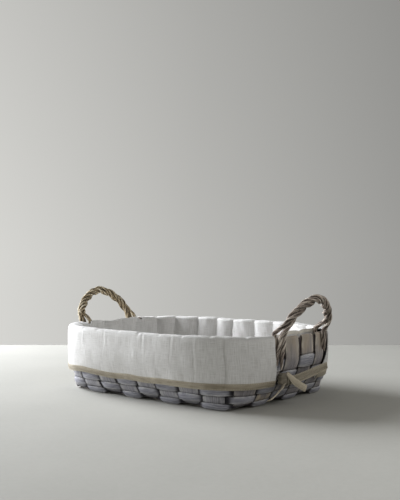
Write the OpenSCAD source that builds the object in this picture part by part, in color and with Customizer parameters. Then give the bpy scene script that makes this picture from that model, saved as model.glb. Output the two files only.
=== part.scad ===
// Bread basket: a woven splint tray with two twisted rod handles and a tied linen liner.
// Frame: millimetres, +Z up, origin at the middle of the underside, +X along the length.

/* [Basket] */
// Length of the woven wall at its collar, between the middles of the splints
collar_len = 324; // [310:2:340]
// Width of the woven wall at its collar
collar_wid = 239; // [230:1:250]
// Length of the woven base
base_len = 262; // [258:1:266]
// Width of the woven base
base_wid = 194; // [190:1:198]
// Height of the splints where they fold over the rim
wall_h = 81; // [78:1:86]
// Height where the flared wall turns into the upright collar
collar_z = 57; // [55:1:60]

/* [Splints] */
// Width of an upright splint at the base
splint_w_base = 28; // [26:0.5:28.5]
// Width of an upright splint at the collar
splint_w_rim = 26; // [24:0.5:27]
// Thickness of an upright splint
splint_t = 1.2; // [1:0.1:1.3]
// Thickness of a weaver
weaver_t = 1; // [0.8:0.1:1.1]

/* [Handles] */
// Distance between the two feet of a handle
handle_span = 92; // [88:1:94]
// Height of the middle of the handle rope above the table
handle_top = 124; // [118:1:130]
// How far the top of a handle leans outward
handle_lean = 19; // [14:1:22]
// Diameter of one rod of the rope
rod_d = 5; // [4.4:0.1:5.2]
// How far the feet of a handle stand to one side, so that its knot has room
handle_shift = 5; // [4:0.5:6]
// How far the top of a handle stands to the same side
handle_top_shift = 1; // [0:0.5:3]
// Length of one full turn of the rope
rope_lay = 48; // [40:1:60]

/* [Liner] */
// Thickness of the linen solids
cloth_t = 1.6; // [1.2:0.1:1.8]
// Height of the lower edge of the turned-down cuff
hem_z = 24; // [22:1:28]
// From the middle of an end to the edge of the cuff beside the knot, at the rim
slit_near = 53; // [52:0.5:55]
// From the middle of an end to the edge of the other cuff, at the rim
slit_far = 63; // [62:0.5:65]
// From the middle of an end to the edges of the cuffs at their hems
slit_hem = 47; // [46:0.5:49]
// Width of the tying ribbon
ribbon_w = 7.5; // [6:0.5:8]

/* [Hidden] */
CROSS_COUNT = 8;
LONG_COUNT = 6;
HANDLE_RODS = 3;
// Uprights are counted round the rim from the front left corner: front, right, back, left
UPRIGHTS = 2 * (CROSS_COUNT + LONG_COUNT);
FIRST_RIGHT = CROSS_COUNT;
FIRST_BACK = FIRST_RIGHT + LONG_COUNT;
FIRST_LEFT = FIRST_BACK + CROSS_COUNT;
// Lower and upper edge of each weaver
ROWS = [[1, 7.5], [8.2, 16.2], [17, 26], [27, 40.5], [42, 57]];

// Spacing and sideways shift of the uprights: at the base, and at the collar
CROSS_BASE = [31.3, -2];
CROSS_COLLAR = [33.5, -5];
LONG_BASE = [30.2, 0];
LONG_COLLAR = [32, -2];
base_power = 16;
collar_power = 3.1;
flare_power = 1.5;
base_mid_z = 1.35;
base_weave = 0.75;
base_turn = 3;
inner_row_lift = 5;
fold_r = 2.25;
tail_z = 60;
tail_w = 21;
// Places across a splint that turns a tight corner
FINE_SIDES = [-1, -0.5, 0, 0.5, 1];
band_t = 1.6;
weave_off = 1.8;
rod_pitch_r = rod_d * 0.62;
rod_r = rod_d / 2;
rod_clear = 0.3;
handle_foot_z = 86;
leg_top = 84;
handle_power = 1.7;
tub_gap_base = 4;
tub_gap_rim = 10.5;
tub_top = 79.7;
floor_z = 3.1;
floor_t = 1.2;
cuff_off = 4;
// Height above which the edges of the cuffs run straight up
slit_top = collar_z + 14;
// Stretches that a cuff and its ribbon are built from, along their length
CUFF_STEPS = 30;
hem_band_h = 5;
ribbon_t = 1;
// The long tail of a bow is curled in to this width
curled_w = 5;
ribbon_gap = 0.8;
ribbon_off = cuff_off + cloth_t / 2 + ribbon_gap + ribbon_t / 2;
fold_z = wall_h - fold_r - splint_t / 2;

// ---- small helpers ----
function mix(a, b, t) = a + (b - a) * t;
function unit(v) = v / norm(v);
function mix_angle(a, b, t) = a + ((b - a + 540) % 360 - 180) * t;
function reversed(list) = [for (i = [len(list) - 1:-1:0]) list[i]];
function smooth(t) = let (c = min(1, max(0, t))) c * c * (3 - 2 * c);

// ---- the wall surface: rounded rectangles that open out from base to collar ----
function flare(z) = z >= collar_z ? 1 : 1 - pow(1 - max(z, 0) / collar_z, flare_power);
function half_x(z) = mix(base_len, collar_len, flare(z)) / 2;
function half_y(z) = mix(base_wid, collar_wid, flare(z)) / 2;
function power(z) = 1 / mix(1 / base_power, 1 / collar_power, flare(z));

// Point of the outline at height z in direction th, moved out by off
function outline(th, z, off = 0) =
    let (
        n = power(z),
        a = half_x(z),
        b = half_y(z),
        r = pow(pow(abs(cos(th)) / a, n) + pow(abs(sin(th)) / b, n), -1 / n),
        g = unit([
            sign(cos(th)) * pow(r * abs(cos(th)) / a, n - 1) / a,
            sign(sin(th)) * pow(r * abs(sin(th)) / b, n - 1) / b
        ])
    )
    [r * cos(th) + off * g[0], r * sin(th) + off * g[1]];
function on_wall(th, z, off, at_z) = let (p = outline(th, z, off)) [p[0], p[1], at_z];
function mm_per_degree(th, z) = norm(outline(th + 0.5, z) - outline(th - 0.5, z));

// Direction of the outline point with a given x (on the front) or y (on the right end)
function th_of_x(x, z) = atan2(-half_y(z) * pow(1 - pow(abs(x) / half_x(z), power(z)), 1 / power(z)), x);
function th_of_y(y, z) = atan2(y, half_x(z) * pow(1 - pow(abs(y) / half_y(z), power(z)), 1 / power(z)));

// ---- where each upright stands ----
function spread(i, count, layout) = (i - (count - 1) / 2) * layout[0] + layout[1];
function front_th(i, z) = th_of_x(spread(i, CROSS_COUNT, z < collar_z ? CROSS_BASE : CROSS_COLLAR), z);
function right_th(i, z) = th_of_y(spread(i, LONG_COUNT, z < collar_z ? LONG_BASE : LONG_COLLAR), z);
function end_th(k, z) =
    k < FIRST_RIGHT ? front_th(k, z)
    : k < FIRST_BACK ? right_th(k - FIRST_RIGHT, z)
    : k < FIRST_LEFT ? -front_th(FIRST_LEFT - 1 - k, z)
    : 180 - right_th(UPRIGHTS - 1 - k, z);
TH_BASE = [for (k = [0:UPRIGHTS - 1]) end_th(k, 0)];
TH_COLLAR = [for (k = [0:UPRIGHTS - 1]) end_th(k, collar_z)];
function upright_th(k, z) = mix_angle(TH_BASE[k], TH_COLLAR[k], flare(z));
function upright_w(z) = mix(splint_w_base, splint_w_rim, flare(z));

// Point of upright k, side -1 to 1 across its width
function across(k, side, z, off, at_z, w) =
    let (th = upright_th(k, z))
    on_wall(th + side * w / 2 / mm_per_degree(th, z), z, off, at_z);

// ---- solids from cross-sections ----
// Each section lists its outer points, then as many inner points in reverse
module loft(sections, closed = false) {
    n = len(sections);
    m = len(sections[0]);
    last = closed ? n - 1 : n - 2;
    sides = [
        for (i = [0:last], j = [0:m - 1])
            let (
                a = i * m + j,
                b = i * m + (j + 1) % m,
                c = ((i + 1) % n) * m + (j + 1) % m,
                d = ((i + 1) % n) * m + j
            )
            each [[a, b, c], [a, c, d]]
    ];
    caps = closed ? [] : [
        for (i = [0:m / 2 - 2], e = [0, 1])
            let (
                s = e * (n - 1) * m,
                q = [s + i, s + i + 1, s + m - 2 - i, s + m - 1 - i]
            )
            each e == 0
                ? [[q[0], q[2], q[1]], [q[0], q[3], q[2]]]
                : [[q[0], q[1], q[2]], [q[0], q[2], q[3]]]
    ];
    polyhedron(points = [for (s = sections) each s], faces = concat(sides, caps), convexity = 8);
}

// Splint or ribbon from rows of points across its width, with a thickness square to its face
function plank(rows, t) = [
    for (i = [0:len(rows) - 1])
        let (
            r = rows[i],
            mid = floor(len(r) / 2),
            before = rows[max(0, i - 1)][mid],
            after = rows[min(len(rows) - 1, i + 1)][mid],
            n = unit(cross(r[len(r) - 1] - r[0], after - before)) * t / 2
        )
        concat([for (p = r) p - n], reversed([for (p = r) p + n]))
];

// Flat tape of width w along a path, its width as near to the direction up as the path allows
function tape(path, w, up) = [
    for (i = [0:len(path) - 1])
        let (
            d = unit(path[min(len(path) - 1, i + 1)] - path[max(0, i - 1)]),
            s = unit(up - d * (up * d)) * w / 2
        )
        [path[i] - s, path[i], path[i] + s]
];

// Round rod along a path, with its radius at each point
module rod(path, radii, sides = 6) {
    n = len(path);
    points = [
        for (i = [0:n - 1])
            let (
                d = unit(path[min(n - 1, i + 1)] - path[max(0, i - 1)]),
                u = unit(cross(d, [1, 0, 0.2])),
                v = cross(u, d)
            )
            for (s = [0:sides - 1])
                path[i] + (u * cos(360 * s / sides) + v * sin(360 * s / sides)) * radii[i]
    ];
    walls = [
        for (i = [0:n - 2], s = [0:sides - 1])
            let (a = i * sides + s, b = i * sides + (s + 1) % sides)
            each [[a, b, b + sides], [a, b + sides, a + sides]]
    ];
    caps = [
        for (s = [1:sides - 2])
            each [[0, s + 1, s], [(n - 1) * sides, (n - 1) * sides + s, (n - 1) * sides + s + 1]]
    ];
    polyhedron(points = points, faces = concat(walls, caps), convexity = 8);
}

// ---- splints ----
// One upright from its tucked end inside, over the rim and down the wall
function upright_rows(k, flip, sides = [-1, 0, 1]) = let (
        order = flip ? reversed(sides) : sides,
        tail = [for (z = [tail_z, 70]) [z, -2 * fold_r]],
        fold = [for (a = [180:-36:0]) [fold_z + fold_r * sin(a), fold_r * (cos(a) - 1)]],
        wall = [for (z = [68, 57, 49, 41, 33, 26, 19, 13, 8, 4]) [z, 0]]
    )
    [
        for (p = concat(tail, fold, wall))
            let (
                w = p[1] < -fold_r ? tail_w : upright_w(p[0]),
                at = min(p[0], fold_z)
            )
            [for (s = order) across(k, s, at, p[1], p[0], w)]
    ];

// The flat run under the base, lifted over and dropped under the splints that it crosses
function base_run(i, along_y, sides = [-1, 0, 1]) = let (
        c = along_y ? spread(i, CROSS_COUNT, CROSS_BASE) : spread(i, LONG_COUNT, LONG_BASE),
        others = along_y ? LONG_COUNT : CROSS_COUNT,
        layout = along_y ? LONG_BASE : CROSS_BASE,
        end = (along_y ? base_wid : base_len) / 2 - base_turn,
        w = splint_w_base / 2,
        stations = concat(
            [[-end, 0]],
            [for (j = [0:others - 1], e = [-1, 1])
                [
                    spread(j, others, layout) + e * w,
                    ((i + j) % 2 == (along_y ? 1 : 0) ? -base_weave : base_weave)
                ]
            ],
            [[end, 0]]
        )
    )
    [
        for (s = stations)
            let (z = base_mid_z + s[1])
            [for (e = sides) along_y ? [c + e * w, s[0], z] : [s[0], c - e * w, z]]
    ];

module cross_splint(i) {
    sides = i == 0 || i == CROSS_COUNT - 1 ? FINE_SIDES : [-1, 0, 1];
    rows = concat(
        upright_rows(i, false, sides),
        base_run(i, true, sides),
        reversed(upright_rows(FIRST_LEFT - 1 - i, true, sides))
    );
    color("#8d8a99") loft(plank(rows, splint_t));
}

module long_splint(i) {
    sides = i == 0 || i == LONG_COUNT - 1 ? FINE_SIDES : [-1, 0, 1];
    rows = concat(
        upright_rows(UPRIGHTS - 1 - i, false, sides),
        base_run(i, false, sides),
        reversed(upright_rows(FIRST_RIGHT + i, true, sides))
    );
    color("#96909a") loft(plank(rows, splint_t));
}

// A weaver runs outside one upright and inside the next, and changes sides in the gaps
module weaver(row) {
    low = ROWS[row][0];
    high = ROWS[row][1];
    sections = [
        for (k = [0:UPRIGHTS - 1], s = [-1, -0.5, 0, 0.5, 1])
            let (
                side = (row + k) % 2 == 1 ? 1 : -1,
                bottom = side < 0 ? max(low, inner_row_lift) : low,
                o = side * weave_off + weaver_t / 2,
                i = side * weave_off - weaver_t / 2
            )
            [
                across(k, s, bottom, o, bottom, upright_w(bottom)),
                across(k, s, high, o, high, upright_w(high)),
                across(k, s, high, i, high, upright_w(high)),
                across(k, s, bottom, i, bottom, upright_w(bottom))
            ]
    ];
    color("#7f7c8c") loft(sections, closed = true);
}

// The flat hoop that the splints fold over
module inner_rim_band() {
    color("#3f3b45")
        translate([0, 0, tail_z - 3])
            linear_extrude(fold_z - tail_z + 3)
                difference() {
                    polygon([for (th = [0:4:356]) outline(th, collar_z, band_t / 2 - fold_r)]);
                    polygon([for (th = [0:4:356]) outline(th, collar_z, -band_t / 2 - fold_r)]);
                }
}

// ---- handles ----
// Middle of the rope at angle a along the arch, 0 and 180 at its feet
function arch(a) = let (
        up = pow(abs(sin(a)), 2 / handle_power),
        y = -sign(cos(a)) * handle_span / 2 * pow(abs(cos(a)), 2 / handle_power)
    )
    [
        collar_len / 2 + 2 + handle_lean * up,
        y + mix(handle_shift, handle_top_shift, up),
        mix(handle_foot_z, handle_top, up)
    ];
ARCH_STEPS = 30;
ARCH = [for (i = [0:ARCH_STEPS]) arch(180 * i / ARCH_STEPS)];
function run_length(i) = i == 0 ? 0 : run_length(i - 1) + norm(ARCH[i] - ARCH[i - 1]);

// The twisted part of rod r, and a leg that lies on the wall inside or outside the rim
function twisted(r) = [
    for (i = [2:ARCH_STEPS - 2])
        let (
            d = unit(ARCH[i + 1] - ARCH[i - 1]),
            side = unit(cross(d, [1, 0, 0.4])),
            lift = cross(d, side),
            a = 360 * run_length(i) / rope_lay + 360 * r / HANDLE_RODS + 90
        )
        ARCH[i] + (side * cos(a) + lift * sin(a)) * rod_pitch_r
];
// foot_y is the middle of the foot, and rim_y and end_y are counted from it
function leg(foot_y, inside, rim_y, end_y, bottom) = let (
        off = inside ? -2 * fold_r - splint_t / 2 - rod_clear - rod_r : splint_t / 2 + rod_clear + rod_r
    )
    [
        for (z = inside ? [84.5, 79, 73, 67, bottom] : [82, 75, 68, 61, bottom])
            let (
                up = smooth((z - bottom) / (leg_top - bottom)),
                th = th_of_y(foot_y + mix(end_y, rim_y, up), collar_z)
            )
            on_wall(th, max(z, tail_z), off + (z < tail_z ? weaver_t + 1 : 0), z)
    ];

// Each rod at its near and its far foot: inside the rim or not, place at the rim, place and height at its end
LEGS = [
    [[true, -1, -2, 62], [false, -3.5, -2.5, 58]],
    [[false, -2.5, -9.5, 50], [true, -1, -2, 62]],
    [[false, 3.5, -3.5, 44], [false, 3, 3.5, 60]]
];
FEET = [handle_shift - handle_span / 2, handle_shift + handle_span / 2];

module handle_rod(r) {
    near = LEGS[r][0];
    far = LEGS[r][1];
    path = concat(
        reversed(leg(FEET[0], near[0], near[1], near[2], near[3])),
        twisted(r),
        leg(FEET[1], far[0], far[1], far[2], far[3])
    );
    taper = [0.25, 0.7, 0.9];
    radii = [for (i = [0:len(path) - 1])
        let (e = min(i, len(path) - 1 - i)) rod_r * (e < len(taper) ? taper[e] : 1)
    ];
    color(r == 1 ? "#7a6450" : "#94816a") rod(path, radii);
}

// ---- liner ----
function tub_gap(z) = mix(tub_gap_base, tub_gap_rim, flare(z));

module liner_floor() {
    color("#e9e5dc")
        translate([0, 0, floor_z])
            linear_extrude(floor_t)
                polygon([for (th = [0:4:356]) outline(th, floor_z, -tub_gap_base - 2 * cloth_t)]);
}

module liner_wall() {
    heights = [5, 12, 21, 31, 43, 57, tub_top];
    sections = [
        for (th = [0:9:351])
            concat(
                [for (z = heights) on_wall(th, z, -tub_gap(z), z)],
                [for (z = reversed(heights)) on_wall(th, z, -tub_gap(z) - cloth_t, z)]
            )
    ];
    color("#efece4") loft(sections, closed = true);
}

// Offset and height of the middle of the cuff, from the top of the liner wall over the rim to its hem
CUFF = [
    [-tub_gap_rim - cloth_t / 2, 80.8], [-9.5, wall_h + 1.6], [-5, wall_h + 2.2], [-0.5, wall_h + 2],
    [cuff_off - 0.7, wall_h], [cuff_off, 76], [cuff_off, 57], [cuff_off, 48],
    [cuff_off, 40], [cuff_off, 32], [cuff_off, hem_z]
];
// Edge of a cuff at height z, from its place at the rim
function slit_th(at_rim, z) = th_of_y(
    -mix(slit_hem, at_rim, smooth((z - hem_z) / (slit_top - hem_z))), collar_z
);
// Part t of the way from the left end round the front to the right end, at height z
function front_th_at(t, z) = mix(-180 - slit_th(slit_far, z), slit_th(slit_near, z), t);
function cuff_section(t) = let (
        last = len(CUFF) - 1,
        sides = [for (s = [-1, 1]) [
            for (i = [0:last])
                let (
                    d = unit(CUFF[min(last, i + 1)] - CUFF[max(0, i - 1)]),
                    p = CUFF[i] + s * [-d[1], d[0]] * cloth_t / 2
                )
                on_wall(front_th_at(t, p[1]), min(p[1], collar_z), p[0], p[1])
        ]]
    )
    concat(sides[0], reversed(sides[1]));

module liner_cuff(back) {
    color("#f3f0e8")
        rotate(back ? 180 : 0)
            loft([for (i = [0:CUFF_STEPS]) cuff_section(i / CUFF_STEPS)]);
}

module hem_ribbon(back) {
    color("#a89a72")
        rotate(back ? 180 : 0)
            loft([
                for (i = [0:CUFF_STEPS])
                    [for (p = [[0.5, 0], [0.5, 1], [-0.5, 1], [-0.5, 0]])
                        let (z = hem_z + 0.3 + p[1] * (ribbon_w - 0.6))
                        on_wall(front_th_at(i / CUFF_STEPS, z), z, ribbon_off + p[0] * ribbon_t, z)
                    ]
            ]);
}

// The folded edge of the liner that shows between the handle feet
module liner_end_hem(left) {
    steps = 8;
    low = tub_top + 0.4;
    mid = -tub_gap_rim - cloth_t / 2;
    color("#efe6cf")
        rotate(left ? 180 : 0)
            loft([
                for (i = [0:steps])
                    let (th = th_of_y(mix(1 - slit_near, slit_far - 1, i / steps), collar_z))
                    [for (p = [[0.5, 0], [0.5, 1], [-0.5, 1], [-0.5, 0]])
                        on_wall(th, collar_z, mid + p[0] * cloth_t, low + p[1] * hem_band_h)
                    ]
            ]);
}

// ---- bows: ribbon ends tied across each end of the basket ----
module at_end(left) {
    color("#b0a37c") rotate(left ? 180 : 0) children();
}

module bow_knot(left) {
    at_end(left)
        translate([159.3, -30, 31])
            rotate([0, 90, 0])
                hull() {
                    translate([-3, -2, -2.2]) cylinder(h = 4.4, r = 3, $fn = 24);
                    translate([3, 2, -2.2]) cylinder(h = 4.4, r = 3, $fn = 24);
                }
}

// From the knot to the far cuff
module bow_band(left) {
    path = [[160, -23.5, 31], [161.5, -8, 32], [163, 10, 34], [164.5, 28, 36], [165.5, 48, 37.5]];
    at_end(left) loft(plank(tape(path, ribbon_w, [0, 0, 1]), ribbon_t));
}

module bow_loop(left) {
    path = [
        [162, -23.5, 34], [164.5, -10, 36], [167, 8, 39], [169, 25, 42], [171, 34, 43.5],
        [173, 37.5, 43.5], [174.5, 34, 43], [173, 22, 40.5], [170.5, 6, 38], [168, -9, 35.5], [166, -20, 34]
    ];
    at_end(left) loft(plank(tape(path, ribbon_w, [0, 0, 1]), ribbon_t));
}

module bow_short_tail(left) {
    path = [[164.6, -27, 37], [168.8, -20.5, 32.5], [169.6, -12, 26.5], [169, -4, 21.4], [168.6, 2, 17.6]];
    at_end(left) loft(plank(tape(path, ribbon_w, [0.2, 0.6, 1]), ribbon_t));
}

module bow_long_tail(left) {
    path = [[161, -36.5, 28.5], [163, -44, 25], [164.5, -53, 20.5], [165, -63, 16.5], [165, -73, 13.4]];
    at_end(left) loft(plank(tape(path, curled_w, [1, 0.2, 0.6]), ribbon_t));
}

// ---- every piece ----
for (i = [0:CROSS_COUNT - 1])
    cross_splint(i);
for (i = [0:LONG_COUNT - 1])
    long_splint(i);
for (row = [0:len(ROWS) - 1])
    weaver(row);
inner_rim_band();
for (r = [0:HANDLE_RODS - 1]) {
    handle_rod(r);
    rotate(180) handle_rod(r);
}
liner_floor();
liner_wall();
liner_cuff(false);  // liner_cuff_front
liner_cuff(true);  // liner_cuff_back
liner_end_hem(false);  // liner_end_hem_right
liner_end_hem(true);  // liner_end_hem_left
hem_ribbon(false);  // hem_ribbon_front
hem_ribbon(true);  // hem_ribbon_back
for (left = [false, true]) {
    side = left ? "left" : "right";
    bow_knot(left);
    bow_band(left);
    bow_loop(left);
    bow_short_tail(left);
    bow_long_tail(left);
}
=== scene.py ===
import math

import bmesh
import bpy
import numpy as np
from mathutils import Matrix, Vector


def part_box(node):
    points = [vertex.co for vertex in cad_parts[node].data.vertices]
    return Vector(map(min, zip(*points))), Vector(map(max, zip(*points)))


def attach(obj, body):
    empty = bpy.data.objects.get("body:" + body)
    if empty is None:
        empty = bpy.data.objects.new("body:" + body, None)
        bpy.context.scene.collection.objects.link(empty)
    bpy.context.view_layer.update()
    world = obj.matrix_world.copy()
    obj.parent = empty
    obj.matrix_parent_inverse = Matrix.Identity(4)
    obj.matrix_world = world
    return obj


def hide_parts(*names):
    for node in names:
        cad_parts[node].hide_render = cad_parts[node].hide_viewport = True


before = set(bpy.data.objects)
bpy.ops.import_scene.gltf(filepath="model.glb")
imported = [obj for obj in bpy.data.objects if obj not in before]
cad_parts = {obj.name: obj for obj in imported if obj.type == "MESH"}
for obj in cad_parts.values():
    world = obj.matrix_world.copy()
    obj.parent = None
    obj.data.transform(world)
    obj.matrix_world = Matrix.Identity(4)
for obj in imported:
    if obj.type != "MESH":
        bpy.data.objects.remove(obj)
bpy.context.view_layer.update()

MM = 0.001


def box_mm(node):
    low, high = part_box(node)
    return np.array(low) / MM, np.array(high) / MM


# ---- the basket's own measures, in millimetres ----
# Radius of the fold of a splint over the rim band, the band's thickness, and the height of the collar
FOLD_R = 2.25
BAND_T = 1.6
COLLAR_Z = 57.0
RIM_HIGH = box_mm("inner_rim_band")[1]
COLLAR_LEN = 2 * (RIM_HIGH[0] + FOLD_R - BAND_T / 2)
COLLAR_WID = 2 * (RIM_HIGH[1] + FOLD_R - BAND_T / 2)
WALL_H = box_mm("cross_splint_4")[1][2]
BASE_LEN = COLLAR_LEN - 62
BASE_WID = COLLAR_WID - 45
FOLD_Z = WALL_H - FOLD_R - 0.6
# Squareness of the base's and the collar's outline, and how the wall curves between them
BASE_POWER = 16.0
COLLAR_POWER = 3.1
FLARE_POWER = 1.5
# Uprights are counted round from the left end of the front
CROSS_COUNT = 8
LONG_COUNT = 6
UPRIGHTS = 2 * (CROSS_COUNT + LONG_COUNT)
FIRST_RIGHT = CROSS_COUNT
FIRST_BACK = FIRST_RIGHT + LONG_COUNT
FIRST_LEFT = FIRST_BACK + CROSS_COUNT
# Lower and upper edge of each row of weaving
ROWS = [(1, 7.5), (8.2, 16.2), (17, 26), (27, 40.5), (42, 57)]
ROW_MIDS = [(low + high) / 2 for low, high in ROWS]
# Spacing of the splints, and how far the middle of their row stands from the middle of the basket
CROSS_BASE = (31.3, -2)
CROSS_COLLAR = (33.5, -5)
LONG_BASE = (30.2, 0)
LONG_COLLAR = (32, -2)
SPLINT_W_BASE = 28.0
SPLINT_W_RIM = 26.0
SPLINT_T = 1.0
# Lower end and width of a splint's tucked tail, and the middle height of the base
TAIL_Z = 60.0
TAIL_W = 21.0
BASE_MID_Z = 1.38
# The liner: its gap from the wall, its heights, and the openings for the handles
TUB_GAP_BASE = 4.0
TUB_GAP_RIM = 10.5
TUB_TOP = 79.7
FLOOR_Z = box_mm("liner_floor")[0][2] + 0.6
HEM_Z = box_mm("liner_cuff_front")[0][2]
RIBBON_W = 7.5
SLIT_NEAR = 53.0
SLIT_FAR = 63.0
SLIT_HEM = 47.0
SLIT_TOP = COLLAR_Z + 14
CLOTH_T = 0.9
FLOOR_CLOTH_T = 0.7
HEM_T = 1.2
TAPE_T = 0.55
WEAVER_T = 0.9


# ---- the wall surface: rounded rectangles that open out from base to collar ----
def mix(a, b, t):
    return a + (b - a) * t


def flare(z):
    return 1 - (1 - np.clip(z, 0, COLLAR_Z) / COLLAR_Z) ** FLARE_POWER


def half_x(z):
    return mix(BASE_LEN, COLLAR_LEN, flare(z)) / 2


def half_y(z):
    return mix(BASE_WID, COLLAR_WID, flare(z)) / 2


def power(z):
    return 1 / mix(1 / BASE_POWER, 1 / COLLAR_POWER, flare(z))


def outline(th, z, off=0.0):
    """Point of the wall in direction th, in degrees, at height z, moved out by off."""
    th, z, off = np.broadcast_arrays(*(np.asarray(v, float) for v in (th, z, off)))
    c, s = np.cos(np.radians(th)), np.sin(np.radians(th))
    a, b, n = half_x(z), half_y(z), power(z)
    ca, sb = np.abs(c) / a, np.abs(s) / b
    r = (ca**n + sb**n) ** (-1 / n)
    gx = np.sign(c) * (r * ca) ** (n - 1) / a
    gy = np.sign(s) * (r * sb) ** (n - 1) / b
    g = np.hypot(gx, gy)
    return np.stack([r * c + off * gx / g, r * s + off * gy / g], -1)


def on_wall(th, z, off, at_z):
    """Point of the wall as it is at height z, placed at height at_z."""
    xy = outline(th, z, off)
    at_z = np.broadcast_to(np.asarray(at_z, float), xy.shape[:-1])
    return np.concatenate([xy, at_z[..., None]], -1)


def mm_per_degree(th, z):
    return np.linalg.norm(outline(th + 0.5, z) - outline(th - 0.5, z), axis=-1)


def th_of_x(x, z):
    n = power(z)
    return math.degrees(math.atan2(-half_y(z) * (1 - (abs(x) / half_x(z)) ** n) ** (1 / n), x))


def th_of_y(y, z):
    n = power(z)
    return math.degrees(math.atan2(y, half_x(z) * (1 - (abs(y) / half_y(z)) ** n) ** (1 / n)))


def spread(i, count, layout):
    """Place of splint i of a row."""
    return (i - (count - 1) / 2) * layout[0] + layout[1]


def end_th(k, base):
    """Direction of upright k at the base or at the collar."""
    z = 0.0 if base else COLLAR_Z
    cross, long = (CROSS_BASE, LONG_BASE) if base else (CROSS_COLLAR, LONG_COLLAR)
    if k < FIRST_RIGHT:
        return th_of_x(spread(k, CROSS_COUNT, cross), z)
    if k < FIRST_BACK:
        return th_of_y(spread(k - FIRST_RIGHT, LONG_COUNT, long), z)
    if k < FIRST_LEFT:
        return -th_of_x(spread(FIRST_LEFT - 1 - k, CROSS_COUNT, cross), z)
    return 180 - th_of_y(spread(UPRIGHTS - 1 - k, LONG_COUNT, long), z)


def turned_on(angles):
    """The same directions, each within half a turn of the one before."""
    out = [angles[0]]
    for a in angles[1:]:
        out.append(out[-1] + (a - out[-1] + 180) % 360 - 180)
    return np.array(out)


TH_BASE = turned_on([end_th(k, True) for k in range(UPRIGHTS)])
TH_COLLAR = turned_on([end_th(k, False) for k in range(UPRIGHTS)])


def upright_th(k, z):
    """Direction of upright k, which may lie part of the way to the next, at height z."""
    k = np.asarray(k, float)
    i = np.floor(k).astype(int)
    turns, i0 = np.divmod(i, UPRIGHTS)
    turns1, i1 = np.divmod(i + 1, UPRIGHTS)
    f = k - i
    base = mix(TH_BASE[i0] + 360 * turns, TH_BASE[i1] + 360 * turns1, f)
    collar = mix(TH_COLLAR[i0] + 360 * turns, TH_COLLAR[i1] + 360 * turns1, f)
    return mix(base, collar, flare(z))


# ---- helpers ----
def ease(x, xs, ys):
    """Goes from each ys to the next with a soft start and end."""
    x, xs, ys = np.asarray(x, float), np.asarray(xs, float), np.asarray(ys, float)
    i = np.clip(np.searchsorted(xs, x) - 1, 0, len(xs) - 2)
    t = np.clip((x - xs[i]) / (xs[i + 1] - xs[i]), 0, 1)
    return ys[i] + (ys[i + 1] - ys[i]) * (1 - np.cos(np.pi * t)) / 2


def soft_step(t):
    return t * t * (3 - 2 * t)


def hill(d, width):
    return np.exp(-((d / width) ** 2))


def run_along(points):
    """Distance along a line of points to each of them."""
    return np.concatenate([[0], np.cumsum(np.linalg.norm(np.diff(points, axis=0), axis=1))])


def curve_through(knots, steps):
    """Smooth line through the knots, with rounded speed so that close knots don't overshoot."""
    p = np.asarray(knots, float)
    gaps = np.maximum(np.linalg.norm(np.diff(p[:, :3], axis=0), axis=1), 1e-6) ** 0.5
    t = np.concatenate([[0], np.cumsum(gaps)])
    slope = np.gradient(p, t, axis=0)
    out = []
    for i in range(len(p) - 1):
        u = (np.arange(steps) / steps)[:, None]
        h = t[i + 1] - t[i]
        out.append(
            (2 * u**3 - 3 * u**2 + 1) * p[i]
            + (u**3 - 2 * u**2 + u) * h * slope[i]
            + (-2 * u**3 + 3 * u**2) * p[i + 1]
            + (u**3 - u**2) * h * slope[i + 1]
        )
    return np.concatenate(out + [p[-1:]])


def soften(rows, around, reach, passes):
    """Rounds rows of points off near each of the given places along them."""
    rows = rows.copy()
    weight = np.zeros(len(rows))
    for a in around:
        weight = np.maximum(weight, hill(np.arange(len(rows)) - a, reach))
    weight[[0, -1]] = 0
    weight = weight.reshape(-1, *[1] * (rows.ndim - 1))
    for _ in range(passes):
        mean = rows.copy()
        mean[1:-1] = (rows[:-2] + rows[1:-1] * 2 + rows[2:]) / 4
        rows = rows + (mean - rows) * weight
    return rows


def ripples(seed, count, longest, shortest, period=None):
    """A seeded sum of waves in (s, z), between about -1 and 1, which repeats after period in s."""
    rng = np.random.default_rng(seed)
    lengths = longest * (shortest / longest) ** rng.random(count)
    across = np.round(period / lengths) if period else period
    ks = 2 * np.pi * across / period if period else 2 * np.pi / lengths
    kz = 2 * np.pi / (lengths * rng.uniform(1.2, 3.5, count)) * rng.choice([-1, 1], count)
    phase = rng.uniform(0, 2 * np.pi, count)
    size = rng.uniform(0.5, 1, count) / math.sqrt(count)

    def height(s, z):
        s, z = np.broadcast_arrays(np.asarray(s, float), np.asarray(z, float))
        return (size * np.sin(s[..., None] * ks + z[..., None] * kz + phase)).sum(-1)

    return height


def unit(v):
    return v / np.maximum(np.linalg.norm(v, axis=-1, keepdims=True), 1e-9)


def face_normals(rows, closed):
    """Direction square to a sheet of points at each of them."""
    if closed:
        along = np.roll(rows, -1, 0) - np.roll(rows, 1, 0)
    else:
        along = np.gradient(rows, axis=0)
    across = np.gradient(rows, axis=1)
    return unit(np.cross(across, along))


def lengths_along(rows, closed):
    mid = rows[:, rows.shape[1] // 2]
    if closed:
        mid = np.concatenate([mid, mid[:1]])
    return run_along(mid)


def lengths_across(rows):
    steps = np.linalg.norm(np.diff(rows, axis=1), axis=2).mean(0)
    return np.concatenate([[0], np.cumsum(steps)])


def with_alpha(paint):
    """Paint with its fourth channel, 1 where no painted shade darkens the surface."""
    return paint if paint.shape[1] == 4 else np.concatenate([paint, np.ones((len(paint), 1))], 1)


def in_scene(name, data):
    """A new object with this data."""
    thing = bpy.data.objects.new(name, data)
    bpy.context.scene.collection.objects.link(thing)
    return thing


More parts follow.
